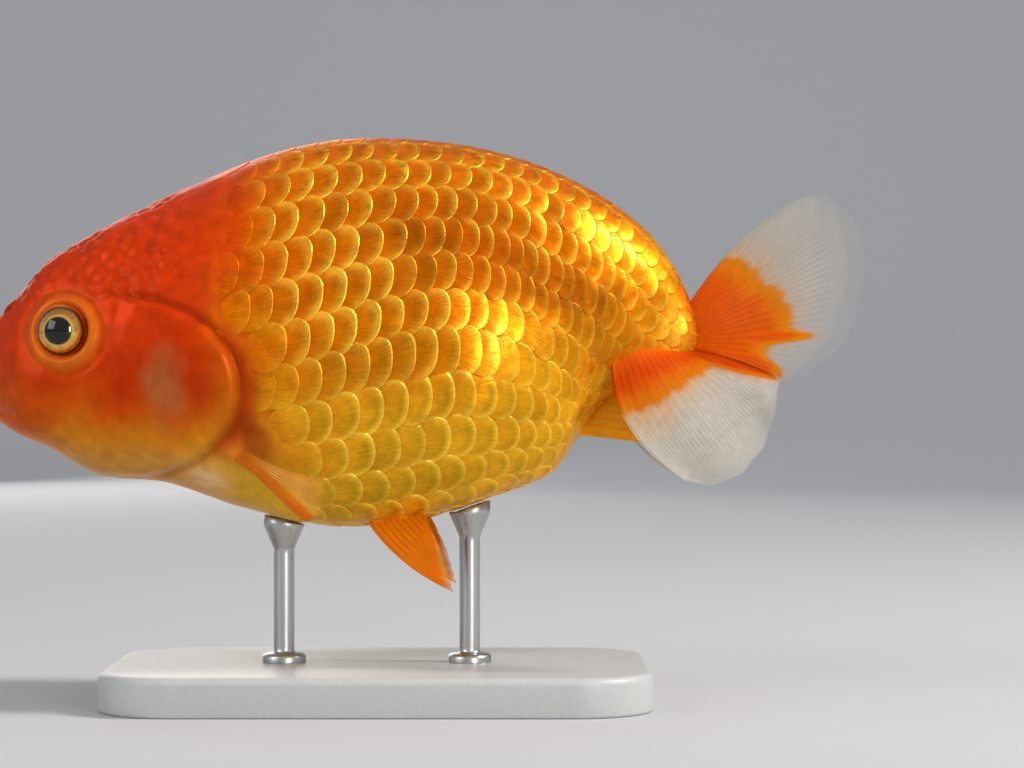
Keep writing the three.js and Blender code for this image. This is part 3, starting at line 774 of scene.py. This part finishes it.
def fin_colours(kind, u, t, ray, side):
    """The colour and opacity of a fin's sheet."""
    seed = 60 + side
    ragged = wavy(np.stack([u * 30, t * 3, 0 * u], -1), 2.2, seed)
    fine = wavy(np.stack([u * 90, t * 2, 0 * u], -1), 2.0, seed + 5)
    pale = mix(rgb(197, 191, 179), rgb(178, 167, 153), ray)
    orange = mix(rgb(226, 92, 0), rgb(214, 74, 0), ray)
    border, solid, soft = rgb(222, 138, 4), 0.95 + 0.05 * ray, 0.05
    fade = 0.45 * smooth(0.88, 1.0, t)
    if kind == "tail_upper":
        edge = 0.435 + 0.17 * smooth(0.35, 0.8, u) + 0.19 * bump(u - 0.812, 0.024)
        edge += 0.28 * smooth(0.92, 1.0, u) - 0.06 * bump(u - 0.87, 0.03)
        clear = (0.36 + 0.10 * ray) * (1 - 0.45 * smooth(0.15, 0.7, u)) + 0.20 * bump(u, 0.04)
        fade = 0.75 * smooth(0.68, 1.0, t)
    elif kind == "tail_lower":
        edge = 0.315 + 0.065 * smooth(0.35, 0.9, u) + 0.68 * smooth(0.20, -0.02, u)
        orange, border = mix(rgb(196, 66, 0), rgb(180, 50, 0), ray), rgb(206, 116, 6)
        clear, soft = 0.50 + 0.10 * ray, 0.085
    elif kind == "pectoral_fin":
        edge = 0.22 + 1.1 * bump(u - 0.61, 0.18)
        pale = mix(rgb(216, 142, 36), mix(rgb(234, 176, 96), rgb(232, 132, 84), smooth(0.12, 0, u)), ray)
        orange, border = mix(rgb(226, 112, 20), rgb(208, 66, 2), ray), rgb(220, 120, 20)
        clear = 0.40 + 0.35 * ray + 0.2 * smooth(0.06, 0, u)
        solid, soft = 0.35 + 0.55 * ray, 0.30
        fade = 0.7 * smooth(0.7, 1.0, t)
    elif kind == "pelvic_fin":
        edge = 0.98 - 0.12 * u
        pale = mix(rgb(230, 150, 56), rgb(240, 170, 84), ray)
        orange, border = mix(rgb(236, 128, 2), rgb(216, 78, 0), 0.9 * ray), rgb(240, 160, 60)
        clear, soft = 0.45 + 0.35 * ray, 0.12
    else:
        edge = 1.2 + 0 * u
        orange = mix(rgb(255, 178, 30), rgb(255, 150, 14), ray)
        clear = 0.8 + 0.2 * ray
    tail = kind.startswith("tail")
    past = t - (edge + (0.012 if tail else 0.03) * ragged + 0.014 * fine)
    share = smooth(soft, -soft, past)
    if tail:
        orange = mix(orange, border, 0.8 * smooth(-0.18, 0.02, past))
        pale = mix(pale, rgb(216, 170, 112), 0.6 * smooth(0.24, 0.0, past))
    colour = mix(mix(pale, border, smooth(0, 0.5, share)), orange, smooth(0.3, 1, share))
    root = rgb(214, 84, 34) if kind == "pectoral_fin" else rgb(226, 104, 4)
    at_root = smooth(0.16, 0.0, t)
    veil = mix_numbers(mix_numbers(clear, solid, share), 1.0, at_root)
    return mix(colour, root, 0.6 * at_root), veil * (1 - fade * (1 - share))


def fin_piece(name, kind, side):
    """One fin as a thin closed sheet with raised, forking rays."""
    fin = FINS[kind]
    across, along = fin["samples"]
    u, t = grid_places(across, along)
    ray = ray_strength(u, t, fin["rays"])
    depth = 0.03 if kind == "pectoral_fin" else 0.008
    frayed = depth * (ray_strength(u, 1, fin["rays"]) - 0.5) + 0.006 * np.sin(u * 31 + 2)
    points = fin_sheet(fin, side, u[:, 0], t * (1 - depth + frayed * t**2) - FIN_SUNK * (1 - t) ** 3)
    if kind == "pectoral_fin":  # its root bends into its fleshy base
        points[..., 1] -= side * (1 - t) ** 8
    normal = unit(np.cross(np.gradient(points, axis=0), np.gradient(points, axis=1)))
    spine = (kind != "tail_lower") * bump(u - 0.015, 0.012)
    spine += (kind != "tail_upper") * bump(u - 0.985, 0.012)
    half = 0.07 + 0.40 * (1 - t) ** 2.2 + ray * (0.028 - 0.01 * t) + 0.09 * spine * (1 - 0.7 * t)
    half *= 0.35 + 0.65 * (smooth(0, 0.02, u) * smooth(1, 0.98, u))
    normal *= half[..., None]
    colour, veil = fin_colours(kind, u, t, ray, side)

    total = across * along
    sheet = grid_faces(across, along, 0, side > 0), grid_faces(across, along, total, side < 0)
    top = np.arange(total).reshape(across, along)
    border = np.concatenate([top[:-1, 0], top[-1, :-1], top[:0:-1, -1], top[0, :0:-1]])
    after = np.roll(border, -1)
    rim = np.stack([border, after, after + total, border + total], 1)
    # In the bake's map the two faces lie side by side, and the rim is a narrow margin round the first.
    first_map = np.stack([0.01 + 0.47 * u, 0.01 + 0.98 * t], -1).reshape(-1, 2)
    middle = np.array([0.245, 0.5])
    margin = np.concatenate([first_map, middle + (first_map - middle) * 1.012])
    rim_map = margin[rim]
    if side < 0:
        rim, rim_map = rim[:, ::-1], rim_map[:, ::-1]
    uv = np.concatenate([first_map, first_map + [0.51, 0]])[np.concatenate(sheet)]
    return make_mesh(
        name, [points + normal, points - normal], np.concatenate([*sheet, rim]),
        np.array([colour, colour]), {"veil": [veil, veil]}, np.concatenate([uv, rim_map]),
    )


# ---- eyes


def eye_piece(name, side):
    """An eyeball with a clear bulge over the iris."""
    low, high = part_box(name)
    centre = 500 * (np.array(low) + np.array(high))
    tilt, turn = np.meshgrid(np.linspace(0, math.pi, 72), np.linspace(0, 2 * math.pi, 65), indexing="ij")
    radius = EYE["radius"] * 0.985 + 0.28 * bump(tilt, 0.62)
    x, z = radius * np.sin(tilt) * np.cos(turn), radius * np.sin(tilt) * np.sin(turn)
    y = side * (radius * np.cos(tilt))
    lean = math.radians(8)
    x, y = x * math.cos(lean) - side * y * math.sin(lean), y * math.cos(lean) + side * x * math.sin(lean)
    points = np.stack([x, y, z], -1) + centre

    out = np.degrees(tilt)
    streak = np.sin(turn * 37) * 0.5 + np.sin(turn * 23 + 1) * 0.5
    iris = paint(
        rgb(206, 128, 22),
        (rgb(246, 196, 76), 0.5 + 0.35 * streak),
        (rgb(150, 58, 8), 0.6 * smooth(0.2, 1.0, np.sin(turn)) * smooth(28, 38, out)),
    )
    colour = paint(
        rgb(5, 4, 4),
        (iris, smooth(27.0, 28.5, out)),
        (rgb(255, 220, 110), 0.8 * bump(out - 29.5, 1.2)),
        (rgb(66, 26, 6), smooth(44, 49, out)),
        (rgb(196, 84, 14), smooth(51, 57, out)),
    )
    shine = smooth(27, 29, out) * smooth(52, 46, out)
    return wrapped_mesh(name + "_ball", points, colour, {"shine": shine})


# ---- display stand


def rings_piece(name, rings):
    """A closed piece from rings of points; its first and last ring close to a point."""
    first, last = (np.repeat(ring.mean(0)[None], len(ring), 0) for ring in (rings[0], rings[-1]))
    rings = np.array([first, *rings, last])
    return wrapped_mesh(name, np.concatenate([rings, rings[:, :1]], 1))


def base_piece():
    """The stand's base: a rounded slab with a soft upper edge."""
    length, width, height, bevel, corner = STAND.values()
    reach = np.array([length, width]) / 2 - corner
    quarter = math.pi / 2

    def outline(inset, z):
        ring = []
        for turn, corner_side in enumerate([(1, 1), (-1, 1), (-1, -1), (1, -1)]):
            for a in np.linspace(0, quarter, 13) + turn * quarter:
                x, y = corner_side * reach + (corner - inset) * np.array([math.cos(a), math.sin(a)])
                ring.append((x, y, z))
        return np.array(ring)

    profile = [(8, 0), (0.5, 0), (0.3, 0.02), (0.05, 0.25), (0, 0.5)]
    for a in np.linspace(0, quarter, 8):
        profile.append((bevel * (1 - math.cos(a)), height - bevel + bevel * math.sin(a)))
    profile += [(bevel + 0.2, height), (bevel + 0.8, height), (9, height)]
    return rings_piece("stand_base_slab", [outline(inset, z) for inset, z in profile])


def rod_piece(name, x):
    """A rod with a foot on the base and a cup whose rim follows the belly."""
    turns = np.linspace(0, 2 * math.pi, 49)[:-1]
    low_angles = np.linspace(math.pi - 0.7, math.pi + 0.7, 121)
    belly, _ = body_surface(*np.meshgrid(np.linspace(4, 11, 281), low_angles, indexing="ij"))
    belly = belly.reshape(-1, 3)

    def under_belly(ring):
        nearest = np.argmin(np.sum((ring[:, None, :2] - belly[None, :, :2]) ** 2, -1), 1)
        return belly[nearest, 2] - 0.3

    def circle(r, z):
        return np.stack([x + r * np.cos(turns), r * np.sin(turns), np.full(len(turns), z)], -1)

    base = STAND["height"]
    top = under_belly(np.array([[x, 0.0]]))[0]
    radius, cup, foot = ROD.values()
    profile = [
        (foot * 0.5, base), (foot, base), (foot, base + 0.1), (foot, base + 0.8),
        (foot - 0.15, base + 1.15), (foot - 0.5, base + 1.4), (radius + 0.25, base + 1.45),
        (radius, base + 1.7), (radius, base + 2.2), (radius, top - 5.2), (radius, top - 4.7),
        (radius + 0.12, top - 4.3), (cup - 0.12, top - 1.2), (cup, top - 0.8),
    ]
    rings = [circle(r, z) for r, z in profile]
    for r, drop in ((cup, 0.12), (cup - 0.15, 0.0), (cup * 0.6, 0.0)):
        ring = circle(r, 0.0)
        ring[:, 2] = under_belly(ring) - drop
        rings.append(ring)
    return rings_piece(name + "_turned", rings)


# ---- materials


def add_node(tree, kind, inputs=(), **settings):
    """A shader node with its settings, and its inputs set to values or linked to sockets."""
    made = tree.nodes.new("ShaderNode" + kind)
    for key, value in settings.items():
        setattr(made, key, value)
    for key, value in dict(inputs).items():
        if isinstance(value, bpy.types.NodeSocket):
            tree.links.new(value, made.inputs[key])
        else:
            made.inputs[key].default_value = value
    return made


class Look:
    """A Principled material and its node recipes."""

    def __init__(self, name, **sockets):
        self.material = bpy.data.materials.new(name)
        self.material.use_nodes = True
        self.tree = self.material.node_tree
        self.shader = self.tree.nodes["Principled BSDF"]
        for socket, value in sockets.items():
            self.shader.inputs[socket.replace("_", " ")].default_value = value

    def node(self, kind, inputs=(), **settings):
        return add_node(self.tree, kind, inputs, **settings)

    def read(self, name):
        """A number that the piece's mesh carries."""
        return self.node("Attribute", attribute_name=name).outputs["Fac"]

    def tint(self, value):
        """The mesh's own colour, made lighter or darker by a number around 1."""
        colour = self.node("Attribute", attribute_name="Tint").outputs["Color"]
        return self.node("VectorMath", {0: colour, "Scale": value}, operation="SCALE").outputs[0]

    def place(self, scale=(1, 1, 1)):
        vector = self.node("TexCoord").outputs["Object"]
        return self.node("Mapping", {"Vector": vector, "Scale": scale}).outputs["Vector"]

    def noise(self, scale, detail=3, roughness=0.55, vector=None):
        return self.node("TexNoise", {
            "Vector": self.place() if vector is None else vector,
            "Scale": scale, "Detail": detail, "Roughness": roughness,
        }).outputs["Fac"]

    def times(self, a, b):
        return self.node("Math", {0: a, 1: b}, operation="MULTIPLY").outputs[0]

    def span(self, value, low, high, source=(0.3, 0.7)):
        """A noise's usual range, or another source, turned into low to high."""
        return self.node("MapRange", {
            "Value": value, "From Min": source[0], "From Max": source[1], "To Min": low, "To Max": high,
        }).outputs["Result"]

    def blend(self, value, a, b):
        """A colour between two, by a number of 0 to 1."""
        ends = {"Factor": value, "A": (*a, 1), "B": (*b, 1)}
        return self.node("Mix", ends, data_type="RGBA").outputs["Result"]

    def bump(self, height, distance, strength=1.0, normal=None):
        inputs = {"Height": height, "Distance": distance, "Strength": strength}
        if normal is not None:
            inputs["Normal"] = normal
        return self.node("Bump", inputs).outputs["Normal"]

    def feed(self, **sockets):
        for socket, value in sockets.items():
            self.tree.links.new(value, self.shader.inputs[socket.replace("_", " ")])
        return self.material


def skin_look():
    look = Look("fish_skin", Specular_IOR_Level=0.12, Specular_Tint=(1.0, 0.5, 0.2, 1), Coat_Weight=0.05,
                Coat_Roughness=0.08, Subsurface_Weight=0.12, Subsurface_Scale=0.001)
    mottle = look.noise(420, 4, 0.6)
    blotch = look.noise(130, 3)
    tone = look.times(look.span(mottle, 0.86, 1.14), look.span(blotch, 0.90, 1.10))
    relief = look.bump(look.noise(1500, 3, 0.6), 0.00004, 0.7)
    relief = look.bump(look.noise(600, 2), 0.00008, 0.6, relief)
    return look.feed(
        Base_Color=look.tint(tone),
        Roughness=look.span(mottle, 0.30, 0.46),
        Metallic=look.span(blotch, 0.05, 0.30, (0.35, 0.65)),
        Normal=relief,
    )


def scale_look():
    look = Look("fish_scales", Specular_IOR_Level=0.1, Specular_Tint=(1.0, 0.5, 0.12, 1), Coat_Weight=0.04,
                Coat_Roughness=0.06)
    streak = look.node("TexNoise", {"W": look.read("fan"), "Scale": 3.4, "Detail": 2.0},
                       noise_dimensions="1D").outputs["Fac"]
    patch = look.noise(300, 3, 0.65)
    glint = look.noise(900, 3, 0.7)
    tone = look.times(look.span(streak, 0.90, 1.10), look.span(patch, 0.83, 1.21))
    tone = look.times(tone, look.span(glint, 0.90, 1.14, (0.35, 0.65)))
    relief = look.bump(look.read("lean"), 1.0)
    relief = look.bump(streak, 0.00004, 0.7, relief)
    relief = look.bump(look.noise(420, 1), 0.00008, 0.6, relief)
    return look.feed(
        Base_Color=look.tint(tone),
        Roughness=look.span(patch, 0.24, 0.36),
        Metallic=look.times(look.read("shine"), look.span(glint, 0.55, 1.5, (0.35, 0.65))),
        Normal=relief,
    )


def fin_look():
    look = Look("fish_fins", Specular_IOR_Level=0.06, Coat_Weight=0.02, Coat_Roughness=0.12)
    grain = look.noise(700, 3)
    return look.feed(
        Base_Color=look.tint(look.span(grain, 0.92, 1.08)),
        Roughness=look.span(grain, 0.36, 0.52),
        Alpha=look.read("veil"),
        Normal=look.bump(look.noise(1800, 2), 0.00003, 0.6),
    )


def eye_look():
    look = Look("fish_eye", Roughness=0.09, Specular_IOR_Level=0.2, Coat_Weight=0.7, Coat_Roughness=0.02)
    grain = look.noise(1600, 3)
    return look.feed(
        Base_Color=look.tint(look.span(grain, 0.85, 1.15)),
        Metallic=look.times(look.read("shine"), 0.75),
    )


def base_look():
    look = Look("stand_paint", Coat_Weight=0.12, Coat_Roughness=0.3)
    speckle = look.noise(1300, 3)
    return look.feed(
        Base_Color=look.blend(speckle, rgb(176, 177, 176), rgb(190, 191, 190)),
        Roughness=look.span(speckle, 0.36, 0.52),
        Normal=look.bump(speckle, 0.00003, 0.5),
    )


def rod_look():
    look = Look("stand_steel", Metallic=1.0)
    brushed = look.noise(900, 4, 0.6, look.place((1, 1, 0.06)))
    return look.feed(
        Base_Color=look.blend(brushed, rgb(168, 169, 170), rgb(204, 204, 203)),
        Roughness=look.span(brushed, 0.24, 0.42),
        Normal=look.bump(brushed, 0.00002, 0.5),
    )


# ---- stage, light and camera


LAMPS = {  # place and size in metres, watts, colour
    "sun": ((0.68, -0.08, 0.64), (0.12, 0.34), 8.0, (1, 0.97, 0.92)),
    "front": ((0.33, -0.62, 0.15), (0.07, 0.28), 1.6, (1, 0.97, 0.93)),
    "left": ((-0.72, -0.46, 0.42), (0.5, 0.5), 2.4, (0.95, 0.97, 1)),
    "rear": ((-0.30, 0.85, 0.28), (0.5, 0.5), 1.6, (1, 0.96, 0.9)),
}
CAMERA = dict(x=0.0206, z=0.0494, distance=0.45, field_width=0.160)  # metres


def floor():
    """A pale floor that curves up into a backdrop."""
    half_width, bend_at, bend_radius, top = 2600, 900, 500, 2600
    across = np.linspace(-half_width, half_width, 9)
    profile = [(-1800, 0), (300, 0), (bend_at, 0)]
    for a in np.linspace(0.1, math.pi / 2, 12):
        profile.append((bend_at + bend_radius * math.sin(a), bend_radius - bend_radius * math.cos(a)))
    profile.append((bend_at + bend_radius, top))
    points = np.array([[(x, y, z) for x in across] for y, z in profile])
    paper = make_mesh("floor", points, grid_faces(len(profile), len(across), flip=True))
    look = Look("floor_paper", Roughness=0.9, Specular_IOR_Level=0.1)
    colour = look.blend(look.noise(900, 3), rgb(188, 189, 192), rgb(192, 193, 196))
    paper.data.materials.append(look.feed(Base_Color=colour))


def studio():
    """A grey world behind the floor, with a soft white light of its own."""
    world = bpy.data.worlds.new("studio")
    bpy.context.scene.world = world
    world.use_nodes = True
    tree = world.node_tree
    seen = tree.nodes["Background"]
    seen.inputs["Color"].default_value = (*rgb(160, 161, 164), 1)
    lit = add_node(tree, "Background", {"Color": (0.92, 0.95, 1.0, 1), "Strength": 0.45})
    camera_ray = add_node(tree, "LightPath").outputs["Is Camera Ray"]
    blend = add_node(tree, "MixShader", {"Fac": camera_ray, 1: lit.outputs[0], 2: seen.outputs[0]})
    tree.links.new(blend.outputs[0], tree.nodes["World Output"].inputs["Surface"])


def aimed(name, data, place, target):
    """A lamp or camera at its place, looking at a target."""
    thing = bpy.data.objects.new(name, data)
    bpy.context.collection.objects.link(thing)
    thing.location = place
    thing.rotation_euler = (Vector(target) - Vector(place)).to_track_quat("-Z", "Y").to_euler()
    return thing


def lamps():
    """Soft rectangular lamps aimed at the fish."""
    for name, (place, size, power, colour) in LAMPS.items():
        data = bpy.data.lights.new(name, "AREA")
        data.shape, data.size, data.size_y = "RECTANGLE", *size
        data.energy, data.color = power, colour
        aimed(name, data, place, (0, 0, 0.055))


def camera():
    """The camera, level with the fish and square to its left flank."""
    x, z, distance, field_width = CAMERA.values()
    data = bpy.data.cameras.new("camera")
    data.sensor_width = 36
    data.lens = data.sensor_width * distance / field_width
    data.clip_start = 0.01
    bpy.context.scene.camera = aimed("camera", data, (x, -distance, z), (x, 0, z))
    bpy.context.scene.view_settings.view_transform = "Standard"


# ---- assembly


def dress(thing, look, slot, *nodes):
    """Gives a piece its material, its place in the frame and the solids it stands for."""
    thing.data.materials.append(look)
    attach(thing, "root")
    if nodes:
        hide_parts(*nodes)
    return thing


floor()
studio()
lamps()
camera()

flesh = ["head", "lips", "gill_cover_left", "gill_cover_right", "trunk", "tail_stalk"]
dress(skin_piece(), skin_look(), "skin", *flesh)

lattice = Lattice()
scales, fins, eyes = scale_look(), fin_look(), eye_look()
for side_name, side in SIDES.items():
    dress(scales_piece("scales_" + side_name, side, lattice), scales, "skin")
    for kind in FINS:
        node = f"{kind}_{side_name}"
        slot = "tail" if kind.startswith("tail") else "fin"
        dress(fin_piece(node + "_rays", kind, side), fins, slot, node)
    dress(eye_piece("eye_" + side_name, side), eyes, "eye", "eye_" + side_name)

steel = rod_look()
dress(base_piece(), base_look(), "stand_base", "stand_base")
for place, x in ROD_PLACES.items():
    dress(rod_piece("stand_rod_" + place, x), steel, "stand_rod", "stand_rod_" + place)
